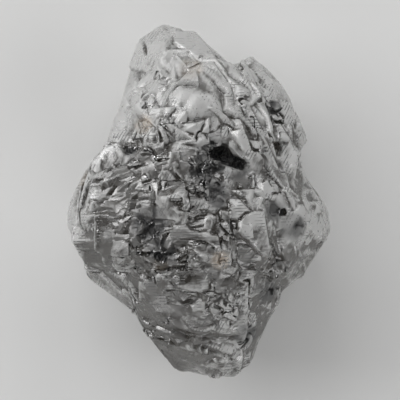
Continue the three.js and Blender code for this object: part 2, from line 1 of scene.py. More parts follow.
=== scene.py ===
# Rough diamond: the grown surface of the stone, its finish, and the stage that it lies on.
#
# The file is laid out as an add-on and run as a script. The imported frame is loaded first. The
# stone's own surface is worked out on a copy of the frame's solid. Narrow grooves are filled. Three
# layers of plates are raised on it one after another: broad tilted shards, long laths and thin
# flakes. Dark pits are sunk into it, and two small places are polished. The skin is then brought
# down to its count of triangles and freed of loose crumbs. Last, each point learns how deep it lies
# in a hollow and which plates it is on, and the finish reads that: it paints shade into hollows,
# clefts and pits, a highlight onto ridges, and paler and greyer places that are partly painted
# light and shade. Lengths are in metres unless a line says otherwise.
import math

import bmesh
import bpy
import numpy as np
from bpy.props import FloatProperty, FloatVectorProperty, PointerProperty
from bpy.types import Operator, Panel, PropertyGroup
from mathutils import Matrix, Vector


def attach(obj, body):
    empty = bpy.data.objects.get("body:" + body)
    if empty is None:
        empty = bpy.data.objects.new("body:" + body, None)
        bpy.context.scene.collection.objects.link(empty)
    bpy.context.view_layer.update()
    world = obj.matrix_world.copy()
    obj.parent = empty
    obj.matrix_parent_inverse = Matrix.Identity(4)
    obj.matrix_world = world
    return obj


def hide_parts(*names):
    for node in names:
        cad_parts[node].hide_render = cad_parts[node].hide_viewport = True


bl_info = {
    "name": "Rough Diamond",
    "version": (1, 0, 0),
    "blender": (4, 5, 0),
    "location": "3D View > Sidebar > Rough Diamond",
    "description": "Gives the rough diamond its grown surface and finish, and sets its stage",
    "category": "Object",
}

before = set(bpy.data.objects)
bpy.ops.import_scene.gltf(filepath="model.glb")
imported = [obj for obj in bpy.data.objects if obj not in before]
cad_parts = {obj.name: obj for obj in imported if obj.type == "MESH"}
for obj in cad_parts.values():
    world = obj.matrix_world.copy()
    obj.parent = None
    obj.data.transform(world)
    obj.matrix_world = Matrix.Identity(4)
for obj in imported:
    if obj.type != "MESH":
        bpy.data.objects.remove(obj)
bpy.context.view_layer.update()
NODE = "rough_diamond"
MM = 1e-3

# The crystal lattice's turn about the vertical in degrees, which stripes on every lobe keep.
LATTICE_TURN = 5

# The seed of the first layer of plates, with one more for each layer after it, and of the pits.
FIRST_SEED, PIT_SEED = 50, 7
# A set of plates with a larger radius than this, in mm, lies all over the stone.
WHOLE_STONE = 5
# A set with a smaller radius than this, in mm, is a placed blade or two, and stands anywhere.
PLACED_BLADE = 0.2
# Plates start this far above the floor.
LOWEST_PLATE = 0.25 * MM
# So many places are drawn for each plate of a set, and so many more over its radius in mm, squared.
DRAWS, DRAWS_BY_RADIUS = 12, 110
# Sets in one place keep to faces whose normals' Z is more than this.
LEAST_UP = 0.1
# A face is a steep flank where its normal's Z is less than this, and a place on it counts so often.
STEEP, STEEP_CHANCE = 0.4, 0.3
# The share of plates that smooth places go without.
SMOOTH_SHARE = 0.92
# Plates longer than this keep their set's turn, and shorter ones take any of six.
LONG_RATIO = 1.5
# How far single plates differ: their turn in degrees, and their length ratio, each side's size and
# lean, and their rise, times the usual. The smallest plate is this share of the largest.
TURN_SPREAD = 6
RATIO_SPREAD, SIDE_SPREAD, LEAN_SPREAD, RISE_SPREAD = (0.7, 1.4), (0.5, 1.5), (0.4, 1.6), (0.3, 1)
SMALLEST_PLATE = 0.45
# A plate's reach is this many of its longest side.
REACH = 2.2
# A plate counts for a point where the cosine between their facings is more than this, and the way
# out along the point's normal is worked out with no cosine below the least.
FACING_COSINE, LEAST_COSINE = 0.35, 0.12
# The most that a plate may stand out goes with the normal's Z times the gain, from the least to 1.
FLANK_GAIN, FLANK_LEAST = 1.3, 0.35
# A pit is made of so many plates, with a length ratio, turn and tilt. Their place, half width and
# depth are shares of its spot's radius.
PIT_PLATES, PIT_RATIO, PIT_TURN, PIT_TILT = 2, 1.3, 20, 16
PIT_PLACE, PIT_WIDTH, PIT_DEPTH = 0.5, 0.75, 0.5
# The grain of the first fusing, in grains of the finished skin.
COARSE_GRAIN = 2.7
# A piece stays under 200,000 triangles.
MOST_TRIANGLES = 196000
# Corners of the frame's triangles closer than this are one point.
JOINED = 2e-7

# Blocks are worn together from this height up, in mm, by this many averagings and this share.
WORN_FROM, WORN_STEPS, WORN_SHARE = 2.4, 12, 0.85
# How softly worn places and stains end, as a share of their radius.
WORN_SOFT, WARM_SOFT = 0.6, 0.8
# Polished places take this many averagings and this share.
POLISH_STEPS, POLISH_SHARE = 40, 0.9

# Clefts are found with a few averagings and bowls with many, and the finish paints shade into
# them. Each has the depth at which it counts in full, and how far below nothing it may go on a
# ridge, where the finish paints a highlight instead.
CLEFT_STEPS, CLEFT_DEPTH, CLEFT_LEAST = 4, 2e-5, -0.6
BOWL_STEPS, BOWL_DEPTH, BOWL_LEAST = 60, 1.1e-4, -0.4
# The pits' dark grains and painted shade fade out where a point stands out from its surroundings
# by this much, and there is none below the height.
PIT_SHADE_FADE, PIT_SHADE_FLOOR = 1.4e-4, 1.2 * MM

# Places where the blocks of the solid are worn together: X, Y, radius in mm.
WORN_SPOTS = (
    (0.3, 0.4, 1.5),
    (-1.4, -0.2, 1.0),
    (0.4, -1.5, 1.5),
    (1.9, -0.2, 1.0),
    (-0.2, -3.6, 1.3),
    (-1.3, 1.4, 0.9),
)
# Smooth places with few plates: X, Y, radius in mm.
SMOOTH_SPOTS = (
    (-0.5, 3.7, 1.2),
    (-2.0, 2.9, 0.9),
    (0.1, 2.5, 0.8),
    (2.1, 2.7, 0.7),
    (-3.2, -0.2, 0.8),
    (-2.2, -2.4, 0.8),
    (3.1, -1.0, 0.6),
    (1.3, 2.0, 0.6),
    (0.9, 2.8, 0.5),
    (1.5, 1.4, 0.5),
    (-1.9, 2.1, 0.5),
)
# Places where the finished plates are polished away again: X, Y, radius in mm.
POLISHED_SPOTS = (
    (-0.17, -3.98, 0.30),
    (2.23, -0.60, 0.22),
)
# Sets of plates in three layers, from the lowest to the highest. Each set has a place (X, Y,
# radius in mm), how many plates it has, half their width in mm, how many times longer they are,
# their turn and tilt in degrees, and how high they stand in mm.
SHARDS = (
    # the knot in the middle, and right of it
    (0.0, 0.4, 1.2, 34, 0.40, 1.3, 20, 13, 0.040),
    (1.6, 0.0, 1.0, 20, 0.34, 1.4, 50, 9, 0.035),
    # level bands on the left and below the middle
    (-1.5, -0.3, 1.2, 18, 0.28, 3.0, 5, 9, 0.040),
    (-0.3, -1.2, 1.0, 14, 0.30, 2.6, 5, 9, 0.040),
    # blocks above the lower lobe, and the left shoulder
    (0.3, -2.3, 1.4, 34, 0.34, 1.3, 30, 10, 0.035),
    (-1.5, 1.8, 0.8, 14, 0.30, 1.3, 40, 10, 0.040),
    # right lobe, lower lobe and lower left flank
    (2.4, -1.2, 1.1, 12, 0.34, 1.8, -60, 8, 0.030),
    (-0.2, -3.7, 1.4, 22, 0.36, 1.8, -10, 8, 0.030),
    (-2.2, -1.6, 1.0, 8, 0.40, 1.4, 25, 6, 0.025),
    # the whole stone
    (0.0, 0.0, 9.0, 60, 0.45, 1.4, 20, 5, 0.020),
)
LATHS = (
    # level laths on the left and below the middle
    (-1.8, -0.2, 1.1, 30, 0.075, 6.0, 5, 8, 0.026),
    (-0.4, -1.2, 0.9, 14, 0.080, 4.0, 5, 8, 0.026),
    # the fan of narrow ridges at the upper right
    (0.84, 2.71, 0.10, 1, 0.080, 8.0, -62, 10, 0.055),
    (0.97, 1.49, 0.10, 2, 0.070, 8.0, -68, 10, 0.080),
    (1.32, 2.69, 0.10, 1, 0.080, 7.0, -65, 10, 0.055),
    (1.56, 1.52, 0.10, 2, 0.080, 8.0, -63, 10, 0.080),
    (0.32, 1.16, 0.10, 1, 0.070, 5.0, -52, 10, 0.080),
    # the rim of the round lump, and edges on the wedge and the left flank
    (-0.21, 3.05, 0.08, 1, 0.045, 9.0, 48, 6, 0.060),
    (-0.63, 2.42, 0.08, 1, 0.045, 7.0, 68, 6, 0.060),
    (-0.60, 1.78, 0.08, 1, 0.045, 8.0, -65, 6, 0.060),
    (-0.13, 1.34, 0.08, 1, 0.045, 7.0, -18, 6, 0.060),
    (0.52, 3.82, 0.08, 1, 0.060, 9.0, -33, 8, 0.080),
    (-1.96, 2.18, 0.10, 1, 0.070, 9.0, 79, 8, 0.080),
    (-2.67, 0.28, 0.10, 1, 0.070, 8.0, 68, 8, 0.060),
    (-2.93, -0.94, 0.10, 1, 0.070, 9.0, 88, 8, 0.060),
    # level ledges from the left to the middle
    (-1.50, 0.62, 0.10, 1, 0.080, 5.0, 2, 10, 0.070),
    (-2.10, -0.85, 0.10, 2, 0.120, 4.0, 3, 10, 0.070),
    (-0.90, -0.81, 0.10, 1, 0.070, 6.0, 3, 10, 0.070),
    (0.09, -0.81, 0.10, 1, 0.080, 5.0, -5, 10, 0.070),
    # right lobe and lower lobe
    (2.1, -1.0, 0.9, 10, 0.060, 6.0, -70, 7, 0.026),
    (-0.8, -3.6, 0.9, 16, 0.055, 7.0, -8, 5, 0.018),
    # long lines on the wedge
    (-0.90, 3.50, 0.19, 2, 0.040, 12.0, -84, 5, 0.035),
    (-0.55, 3.60, 0.19, 2, 0.040, 14.0, -74, 5, 0.035),
    (-0.20, 3.30, 0.19, 2, 0.040, 12.0, -62, 5, 0.035),
    (0.20, 3.60, 0.19, 2, 0.040, 12.0, -46, 5, 0.035),
    # chips in the middle, above the lower lobe, on the right and on the left shoulder
    (0.0, 0.6, 1.2, 18, 0.150, 2.0, -35, 12, 0.030),
    (0.4, -2.2, 1.4, 30, 0.120, 1.4, 35, 9, 0.022),
    (1.8, 0.0, 1.0, 18, 0.140, 1.4, 20, 9, 0.022),
    (-1.4, 1.8, 0.8, 12, 0.130, 1.4, 50, 9, 0.022),
    # the whole stone
    (0.0, 0.0, 9.0, 80, 0.160, 1.6, 20, 5, 0.014),
)
FLAKES = (
    (0.0, 0.0, 2.6, 130, 0.090, 1.6, 0, 9, 0.012),
    (0.0, -3.2, 1.8, 90, 0.110, 1.6, 0, 9, 0.015),
    (0.0, 0.0, 9.0, 90, 0.080, 1.5, 0, 6, 0.009),
)

# How much the layers' plates differ in tone, and how far above the skin a plate's top may reach
# back to mark a point as its own.
LAYER_TONES = (0.6, 0.4, 0.2)
LAYER_SLACKS = (8e-5, 3e-5, 1e-5)

# Milky and clear places, partly the stone's own tone and partly painted light and shade: paler
# at the upper left, where the light comes from, and at the rims, greyer in the thick middle and the
# lower lobe. X, Y, radius in mm, and how much paler, or greyer, the stone is there.
ZONES = (
    (-0.5, 3.7, 1.3, 0.68),
    (-2.1, 2.6, 0.9, 1.60),
    (-3.0, -0.6, 0.4, 0.40),
    (-1.4, 1.8, 0.5, 0.50),
    (0.1, 2.2, 1.2, 0.30),
    (1.9, 2.6, 1.0, 0.25),
    (-3.1, -0.2, 0.8, 0.90),
    (2.6, -0.4, 0.8, 0.40),
    (1.2, -0.4, 0.5, 0.95),
    (-1.2, 1.1, 0.9, -0.35),
    (0.1, 0.4, 1.2, -0.45),
    (1.0, 0.3, 0.6, 0.30),
    (-1.6, -0.5, 1.3, -0.95),
    (0.4, -1.6, 1.3, -0.50),
    (-0.8, -3.4, 1.1, -1.75),
    (2.3, -1.6, 0.9, -0.55),
    (-1.8, -0.1, 0.55, -1.15),
    (-2.1, -1.0, 0.35, -0.70),
    (-0.72, -1.15, 0.30, -0.80),
    (0.1, 0.6, 0.35, -0.60),
    (0.8, 1.0, 0.7, -0.35),
    (-0.1, -1.1, 0.4, -0.35),
    (1.1, -3.6, 0.7, -0.30),
)
# Pits and clefts with dark grains and painted shade in them: X, Y, radius in mm.
DARK_SPOTS = (
    (0.34, 1.02, 0.34),
    (0.86, 0.82, 0.28),
    (-1.14, -0.58, 0.32),
    (-0.86, -1.21, 0.26),
    (1.79, -0.27, 0.20),
    (2.23, -0.64, 0.26),
    (1.66, -2.22, 0.20),
    (1.14, -3.26, 0.24),
    (0.03, 0.71, 0.26),
    (0.39, 0.19, 0.22),
    (-1.62, 1.14, 0.12),
    (1.81, 2.17, 0.18),
    (0.16, 0.40, 0.17),
    (0.42, -0.05, 0.14),
)
# Places stained a warm colour: X, Y, radius in mm.
WARM_SPOTS = (
    (-1.32, 1.78, 0.16),
    (0.5, -1.4, 0.15),
    (-0.9, -1.5, 0.12),
    (-0.2, 3.1, 0.2),
    (-3.1, 0.6, 0.2),
)


class StoneShape(PropertyGroup):
    """Sizes of the stone's grown surface."""

    plenty: FloatProperty(
        name="Plenty",
        description="How many plates there are, times the usual",
        default=1,
        min=0,
    )
    rise: FloatProperty(
        name="Rise",
        description="How high plates stand, times the usual",
        default=1,
        min=0,
    )
    tilt: FloatProperty(
        name="Tilt",
        description="How far plates lean, times the usual",
        default=1,
        min=0,
    )
    most: FloatProperty(
        name="Most",
        description="How far a plate may stand out at most",
        default=1.2e-4,
        unit="LENGTH",
        subtype="DISTANCE",
    )
    groove: FloatProperty(
        name="Groove",
        description="Half the width of the widest groove that is filled",
        default=1e-4,
        unit="LENGTH",
        subtype="DISTANCE",
    )
    crisp: FloatProperty(
        name="Crisp",
        description="Faces that meet at more than this angle show a sharp edge",
        default=math.radians(21),
        unit="ROTATION",
        subtype="ANGLE",
    )
    grain: FloatProperty(
        name="Grain",
        description="Size of the smallest form that the surface keeps",
        default=1.9e-5,
        unit="LENGTH",
        subtype="DISTANCE",
    )


class StoneFinish(PropertyGroup):
    """Colours and gloss of the diamond."""

    milky: FloatVectorProperty(
        name="Milky",
        description="Colour of the palest diamond",
        subtype="COLOR",
        default=(1.0, 1.0, 0.99),
    )
    grey: FloatVectorProperty(
        name="Grey",
        description="Colour of the grey diamond",
        subtype="COLOR",
        default=(0.063, 0.055, 0.045),
    )
    # Dark also paints the scratches, and the painted shade in the pits' hollows.
    dark: FloatVectorProperty(
        name="Dark",
        description="Colour of the dark grains in pits",
        subtype="COLOR",
        default=(0.012, 0.012, 0.012),
    )
    warm: FloatVectorProperty(
        name="Warm",
        description="Colour of the stained places",
        subtype="COLOR",
        default=(0.74, 0.58, 0.42),
    )
    transmission: FloatProperty(
        name="Transmission",
        description="Share of light that goes through the stone",
        subtype="FACTOR",
        default=0.7,
        min=0,
        max=1,
    )
    ior: FloatProperty(
        name="Index of refraction",
        description="How strongly light bends",
        default=2.42,
        min=1,
    )
    specular: FloatProperty(
        name="Specular",
        description="Strength of reflections",
        subtype="FACTOR",
        default=0.2,
        min=0,
        max=1,
    )
    tint: FloatVectorProperty(
        name="Tint",
        description="Colour that light keeps inside the stone",
        subtype="COLOR",
        default=(0.62, 0.61, 0.59),
    )
    density: FloatProperty(
        name="Absorption",
        description="How fast light fades inside the stone, per metre",
        default=110,
        min=0,
    )


class StageLook(PropertyGroup):
    """Floor, light and camera."""

    floor: FloatVectorProperty(
        name="Floor",
        description="Colour of the floor",
        subtype="COLOR",
        default=(0.69, 0.69, 0.685),
    )
    sky: FloatProperty(
        name="Sky",
        description="Brightness overhead",
        default=0.06,
        min=0,
    )
    brightness: FloatProperty(
        name="Brightness",
        description="Strength of the lamps",
        default=1.15,
        min=0,
    )


def corner_arrays(mesh):
    """Points (n, 3) of a mesh, and the three point numbers of each of its triangles (m, 3)."""
    mesh.calc_loop_triangles()
    points = np.empty(len(mesh.vertices) * 3)
    mesh.vertices.foreach_get("co", points)
    triangles = np.empty(len(mesh.loop_triangles) * 3, np.int32)
    mesh.loop_triangles.foreach_get("vertices", triangles)
    return points.reshape(-1, 3), triangles.reshape(-1, 3)


def face_vectors(points, triangles):
    """Unit normals (m, 3) of triangles and twice their areas (m)."""
    a, b, c = (points[triangles[:, k]] for k in range(3))
    across = np.cross(b - a, c - a)
    size = np.linalg.norm(across, axis=1)
    return across / np.maximum(size, 1e-20)[:, None], size


def scattered(surface, count, random):
    """Places spread evenly over a surface, with its normals there.

    A triangle is drawn with a chance that goes with its area, and a place in it by two even numbers
    r and s: its corners are weighed by 1 - sqrt(r), sqrt(r)(1 - s) and sqrt(r) s.
    """
    points, triangles, normals, share = surface
    drawn = np.minimum(np.searchsorted(share, random.random(count)), len(triangles) - 1)
    r = np.sqrt(random.random(count))[:, None]
    s = random.random(count)[:, None]
    a, b, c = (points[triangles[drawn, k]] for k in range(3))
    return (1 - r) * a + r * (1 - s) * b + r * s * c, normals[drawn]


def plate_axes(facing, spin):
    """Two directions across each plate: the smallest turn that takes Z to its facing, then a spin.

    Rodrigues' formula turns the X axis about the axis Z x facing. The second direction is square to
    that one and to the facing.
    """
    cosine = facing[:, 2]
    axis = np.stack([-facing[:, 1], facing[:, 0], np.zeros(len(facing))], 1)
    sine = np.linalg.norm(axis, axis=1)
    axis = np.where(sine[:, None] > 1e-9, axis / np.maximum(sine, 1e-9)[:, None], [1.0, 0, 0])
    x = np.broadcast_to([1.0, 0, 0], facing.shape)
    turned = x * cosine[:, None] + np.cross(axis, x) * sine[:, None]
    turned += axis * (axis[:, 0] * (1 - cosine))[:, None]
    square = np.cross(facing, turned)
    c, s = np.cos(spin)[:, None], np.sin(spin)[:, None]
    return turned * c + square * s, square * c - turned * s


def plate_set(surface, row, shape, random):
    """One set of plates on a surface: middles, planes, distances, reaches and own numbers.

    A plate is the space below seven planes. The top's normal is the plate's facing f, at its rise.
    Side k faces the direction a at 60 k degrees across the plate, and m = u cos a + v sin a /
    length ratio. Its normal is m / |m| + t f, so that it leans by its own tangent t, and its
    distance is the side's own size / |m|. Fewer plates stand on steep flanks and in smooth places.
    """
    x, y, radius, count, width, ratio, turn, tilt, rise = row
    whole = radius > WHOLE_STONE
    drawn = round(count * (DRAWS + DRAWS_BY_RADIUS / radius**2))
    places, normals = scattered(surface, drawn, random)
    near = np.hypot(places[:, 0] - x * MM, places[:, 1] - y * MM) < radius * MM
    near &= (places[:, 2] > LOWEST_PLATE) & ((normals[:, 2] > LEAST_UP) | whole)
    chance = np.where(np.abs(normals[:, 2]) < STEEP, STEEP_CHANCE, 1)
    chance = chance * (1 - SMOOTH_SHARE * spotted(places, SMOOTH_SPOTS))
    stands = (random.random(len(places)) < chance) | (radius < PLACED_BLADE)
    kept = np.flatnonzero(near & stands)[: round(count * shape.plenty)]
    places, n = places[kept], len(kept)
    lean = math.tan(math.radians(tilt * shape.tilt))
    facing = normals[kept] + random.normal(0, lean, (n, 3))
    facing /= np.linalg.norm(facing, axis=1)[:, None]
    free = (ratio < LONG_RATIO) | whole
    spin = turn + 60 * random.integers(0, 6, n) * free + random.normal(0, TURN_SPREAD, n)
    u, v = plate_axes(facing, np.radians(spin))
    u, v = v[:, None], u[:, None]
    angle = np.arange(6) * np.pi / 3
    ratios = ratio * random.uniform(*RATIO_SPREAD, n)
    across = u * np.cos(angle)[:, None]
    across = across + v * (np.sin(angle) / ratios[:, None])[..., None]
    long = np.linalg.norm(across, axis=2)
    sizes = MM * width * SMALLEST_PLATE ** random.random(n)[:, None]
    sizes = sizes * random.uniform(*SIDE_SPREAD, (n, 6))
    leans = random.uniform(*LEAN_SPREAD, (n, 6, 1))
    sides = across / long[..., None] + leans * facing[:, None]
    rises = MM * rise * shape.rise * random.uniform(*RISE_SPREAD, n)
    planes = np.concatenate([facing[:, None], sides], 1)
    distances = np.concatenate([rises[:, None], sizes / long], 1)
    reaches = REACH * sizes.max(1) * ratios
    return places, planes, distances, reaches, random.uniform(-1, 1, n)


def joined_sets(piece, rows, shape, seed):
    """All the plates of one layer: middles (n, 3), planes (n, 7, 3), distances (n, 7), reaches (n)
    and a number from -1 to 1 of each plate's own (n).

    Each set draws its own random numbers, from the layer's seed and its place in the list.
    """
    points, triangles = corner_arrays(piece.data)
    normals, size = face_vectors(points, triangles)
    surface = (points, triangles, normals, np.cumsum(size) / size.sum())
    sets = [
        plate_set(surface, row, shape, np.random.default_rng([seed, k]))
        for k, row in enumerate(rows)
    ]
    return [np.concatenate(parts) for parts in zip(*sets)]


def raised(points, normals, layer, start, most):
    """How far each point goes out along its normal to the highest plate, and that plate's number.

    A point p with the normal n is below the plane m . x = d by (d - m . p) / (m . n), so that the
    least of the seven tells how far it is below the whole plate. The greatest of these over all
    plates counts, if it is more than the start. A plate is taken at a time, with all the points
    near it at once. The most that counts is less on steep flanks.
    """
    order = np.argsort(points[:, 0])
    p, n = points[order], normals[order]
    height, number = np.full(len(p), start), np.zeros(len(p))
    places, planes, distances, reach, own = layer
    first = np.searchsorted(p[:, 0], places[:, 0] - reach)
    last = np.searchsorted(p[:, 0], places[:, 0] + reach)
    for k, middle in enumerate(places):
        away = np.abs(p[first[k] : last[k], 1:] - middle[1:])
        near = first[k] + np.flatnonzero((away < reach[k]).all(1))
        toward = n[near] @ planes[k].T
        below = distances[k] - (p[near] - middle) @ planes[k].T
        below = below / np.maximum(toward, LEAST_COSINE)
        below = np.where(toward[:, 0] > FACING_COSINE, below.min(1), -1)
        higher = below > height[near]
        height[near[higher]] = below[higher]
        number[near[higher]] = own[k]
    back = np.argsort(order)
    most = most * np.clip(FLANK_GAIN * np.abs(n[:, 2]), FLANK_LEAST, 1)
    return np.clip(height, start, most)[back], number[back]


def normal_array(mesh):
    """Unit normals (n, 3) at the points of a mesh."""
    normals = np.empty(len(mesh.vertices) * 3)
    mesh.vertices.foreach_get("normal", normals)
    return normals.reshape(-1, 3)


def moved(piece, points):
    """Puts a piece's points in new places, none below the floor."""
    points[:, 2] = np.maximum(points[:, 2], 0)
    piece.data.vertices.foreach_set("co", points.ravel())
    piece.data.update()


def shifted(piece, way):
    """Moves a piece's points out along their normals, all by one distance or each by its own."""
    points, _ = corner_arrays(piece.data)
    moved(piece, points + normal_array(piece.data) * np.reshape(way, (-1, 1)))


def relaxed(piece, steps):
    """Takes the raggedness off a piece: each point goes half way to its neighbours' mean."""
    points, _ = corner_arrays(piece.data)
    edges, degree = edge_array(piece.data)
    for _ in range(steps):
        points = 0.5 * (points + averaged(points, edges, degree, 1))
    moved(piece, points)


def worn(piece, width, grain):
    """Fills narrow grooves of a piece, and wears its blocks together in some places.

    The skin goes out by the width, is fused, and goes back in. A point in a worn place then goes
    most of the way to the mean of its neighbours.
    """

    def share(points):
        """How far a point is in a worn place, from 0 at the lowest worn height to 1 a mm above."""
        height = np.clip(points[:, 2] / MM - WORN_FROM, 0, 1)
        return spotted(points, WORN_SPOTS, WORN_SOFT) * height

    fuse(piece, grain)
    shifted(piece, width * share(corner_arrays(piece.data)[0]))
    fuse(piece, grain)
    shifted(piece, -width * share(corner_arrays(piece.data)[0]))
    points, _ = corner_arrays(piece.data)
    smooth = averaged(points, *edge_array(piece.data), WORN_STEPS)
    moved(piece, points + WORN_SHARE * share(points)[:, None] * (smooth - points))


def polished(piece):
    """Polishes small places: points there go most of the way to their neighbours' mean."""
    points, _ = corner_arrays(piece.data)
    smooth = averaged(points, *edge_array(piece.data), POLISH_STEPS)
    share = POLISH_SHARE * spotted(points, POLISHED_SPOTS)
    moved(piece, points + share[:, None] * (smooth - points))


def sink_pits(piece, shape):
    """Sinks jagged pits into a piece at its dark spots: plates that go in instead of out."""
    kind = (PIT_RATIO, PIT_TURN, PIT_TILT)
    rows = [
        (x, y, PIT_PLACE * size, PIT_PLATES, PIT_WIDTH * size, *kind, PIT_DEPTH * size)
        for x, y, size in DARK_SPOTS
    ]
    layer = joined_sets(piece, rows, shape, PIT_SEED)
    points, _ = corner_arrays(piece.data)
    depth, _ = raised(points, normal_array(piece.data), layer, 0.0, shape.most)
    shifted(piece, -depth)


def linked(name, mesh):
    """A new object in the scene that shows a mesh."""
    piece = bpy.data.objects.new(name, mesh)
    bpy.context.scene.collection.objects.link(piece)
    return piece


def settled(piece):
    """Puts the result of a piece's modifiers into its mesh."""
    graph = bpy.context.evaluated_depsgraph_get()
    made = bpy.data.meshes.new_from_object(piece.evaluated_get(graph))
    if not made.polygons:
        raise RuntimeError(f"{piece.name}: nothing is left of the piece")
    piece.modifiers.clear()
    piece.data = made


def merged_copy(source, name):
    """A copy of an object with its loose triangles joined at their corners."""
    mesh = source.data.copy()
    work = bmesh.new()
    work.from_mesh(mesh)
    bmesh.ops.remove_doubles(work, verts=work.verts, dist=JOINED)
    bmesh.ops.triangulate(work, faces=work.faces)
    work.to_mesh(mesh)
    work.free()
    mesh.materials.clear()
    return linked(name, mesh)


def fuse(piece, grain):
    """Fuses all that a piece's mesh holds into one closed skin of an even grain, smoothed once."""
    even = piece.modifiers.new("even", "REMESH")
    even.mode = "VOXEL"
    even.voxel_size = grain
    soft = piece.modifiers.new("soft", "SMOOTH")
    soft.factor = 0.5
    soft.iterations = 1
    settled(piece)


def thin_out(piece, most):
    """Brings a piece down to so many triangles."""
    count = sum(len(face.vertices) - 2 for face in piece.data.polygons)
    if count > most:
        fewer = piece.modifiers.new("fewer", "DECIMATE")
        fewer.ratio = most / count
        fewer.use_collapse_triangulate = True
        settled(piece)


def averaged(values, edges, degree, steps):
    """Values of points, each replaced by the mean of its neighbours' over and over."""
    ends, starts = edges.ravel(), edges[:, ::-1].ravel()
    for _ in range(steps):
        total = [np.bincount(ends, column[starts], len(values)) for column in values.T]
        values = np.stack(total, 1) / degree[:, None]
    return values


def edge_array(mesh):
    """Point numbers (m, 2) of the edges of a mesh, and how many edges each point has."""
    edges = np.empty(len(mesh.edges) * 2, np.int32)
    mesh.edges.foreach_get("vertices", edges)
    degree = np.bincount(edges, minlength=len(mesh.vertices)).astype(float)
    return edges.reshape(-1, 2), np.maximum(degree, 1)


def drop_crumbs(piece):
    """Keeps only the largest skin of a piece, without loose crumbs.

    Every point starts with its own number. Both ends of an edge take the lower of their two
    numbers, and each number is followed to the one that it took, until nothing changes and each
    skin has one number.
    """
    (a, b), label = edge_array(piece.data)[0].T, np.arange(len(piece.data.vertices))
    while True:
        low, lower = np.minimum(label[a], label[b]), label.copy()
        np.minimum.at(lower, label[a], low)
        np.minimum.at(lower, label[b], low)
        lower = lower[lower]
        if (lower == label).all():
            break
        label = lower
    work = bmesh.new()
    work.from_mesh(piece.data)
    work.verts.ensure_lookup_table()
    crumbs = [work.verts[k] for k in np.flatnonzero(label != np.bincount(label).argmax())]
    bmesh.ops.delete(work, geom=crumbs, context="VERTS")
    work.to_mesh(piece.data)
    work.free()


def hollowness(mesh, steps):
    """How deep each point lies in a hollow: the way along its normal to the smoothed surface."""
    points, _ = corner_arrays(mesh)
    smooth = averaged(points, *edge_array(mesh), steps)
    return ((smooth - points) * normal_array(mesh)).sum(1)


def spotted(points, spots, soft=0.5):
    """1 inside round spots, each (X, Y, radius in mm), falling off smoothly to 0 outside them.

    With the way w from a spot's middle in radii, it is t = (1 + soft - w) / soft, kept from 0 to 1,
    and then t t (3 - 2 t). The greatest over all the spots counts.
    """
    total = np.zeros(len(points))
    for x, y, radius in spots:
        way = np.hypot(points[:, 0] - x * MM, points[:, 1] - y * MM) / (radius * MM)
        total = np.maximum(total, np.clip((1 + soft - way) / soft, 0, 1))
    return total * total * (3 - 2 * total)


def zoned(points):
    """Paleness from the zones, partly painted light and shade: each adds its strength times
    exp(-(distance / radius)^2).
    """
    total = np.zeros(len(points))
    for x, y, radius, strength in ZONES:
        away = np.hypot(points[:, 0] - x * MM, points[:, 1] - y * MM) / (radius * MM)
        total += strength * np.exp(-away * away)
    return total


def keep_value(mesh, name, values):
    """Stores one number for each point of a mesh."""
    layer = mesh.attributes.get(name) or mesh.attributes.new(name, "FLOAT", "POINT")
    layer.data.foreach_set("value", values.astype(np.float32))


def mark(mesh, layers):
    """Stores what the finish depends on at each point.

    A cleft or bowl is the hollowness after few or many averagings, over its depth, which the
    finish paints as shade in hollows and as a highlight on ridges. A zone is the paleness, partly
    painted light and shade. Warm is how far a point is in a stain, and pit how far it is in a
    pit's dark grains and painted shade. Shard adds up the own numbers of the highest plates there,
    each times its layer's tone, and fades in polished places.
    """
    points, _ = corner_arrays(mesh)
    normals = normal_array(mesh)
    cleft, bowl = hollowness(mesh, CLEFT_STEPS), hollowness(mesh, BOWL_STEPS)
    keep_value(mesh, "cleft", np.clip(cleft / CLEFT_DEPTH, CLEFT_LEAST, 1))
    keep_value(mesh, "bowl", np.clip(bowl / BOWL_DEPTH, BOWL_LEAST, 1))
    keep_value(mesh, "zone", zoned(points))
    keep_value(mesh, "warm", spotted(points, WARM_SPOTS, WARM_SOFT))
    # Painted shade with the pits' dark grains: the pit mark goes only into hollows, above the
    # height.
    inside = np.clip(1.0 + bowl / PIT_SHADE_FADE, 0, 1) * (points[:, 2] > PIT_SHADE_FLOOR)
    keep_value(mesh, "pit", spotted(points, DARK_SPOTS) * inside)
    shards = sum(
        tone * raised(points, normals, layer, -slack, 1.0)[1]
        for layer, tone, slack in zip(layers, LAYER_TONES, LAYER_SLACKS)
    )
    polish = POLISH_SHARE * spotted(points, POLISHED_SPOTS)
    keep_value(mesh, "shard", np.clip(shards, -1, 1) * (1 - polish))


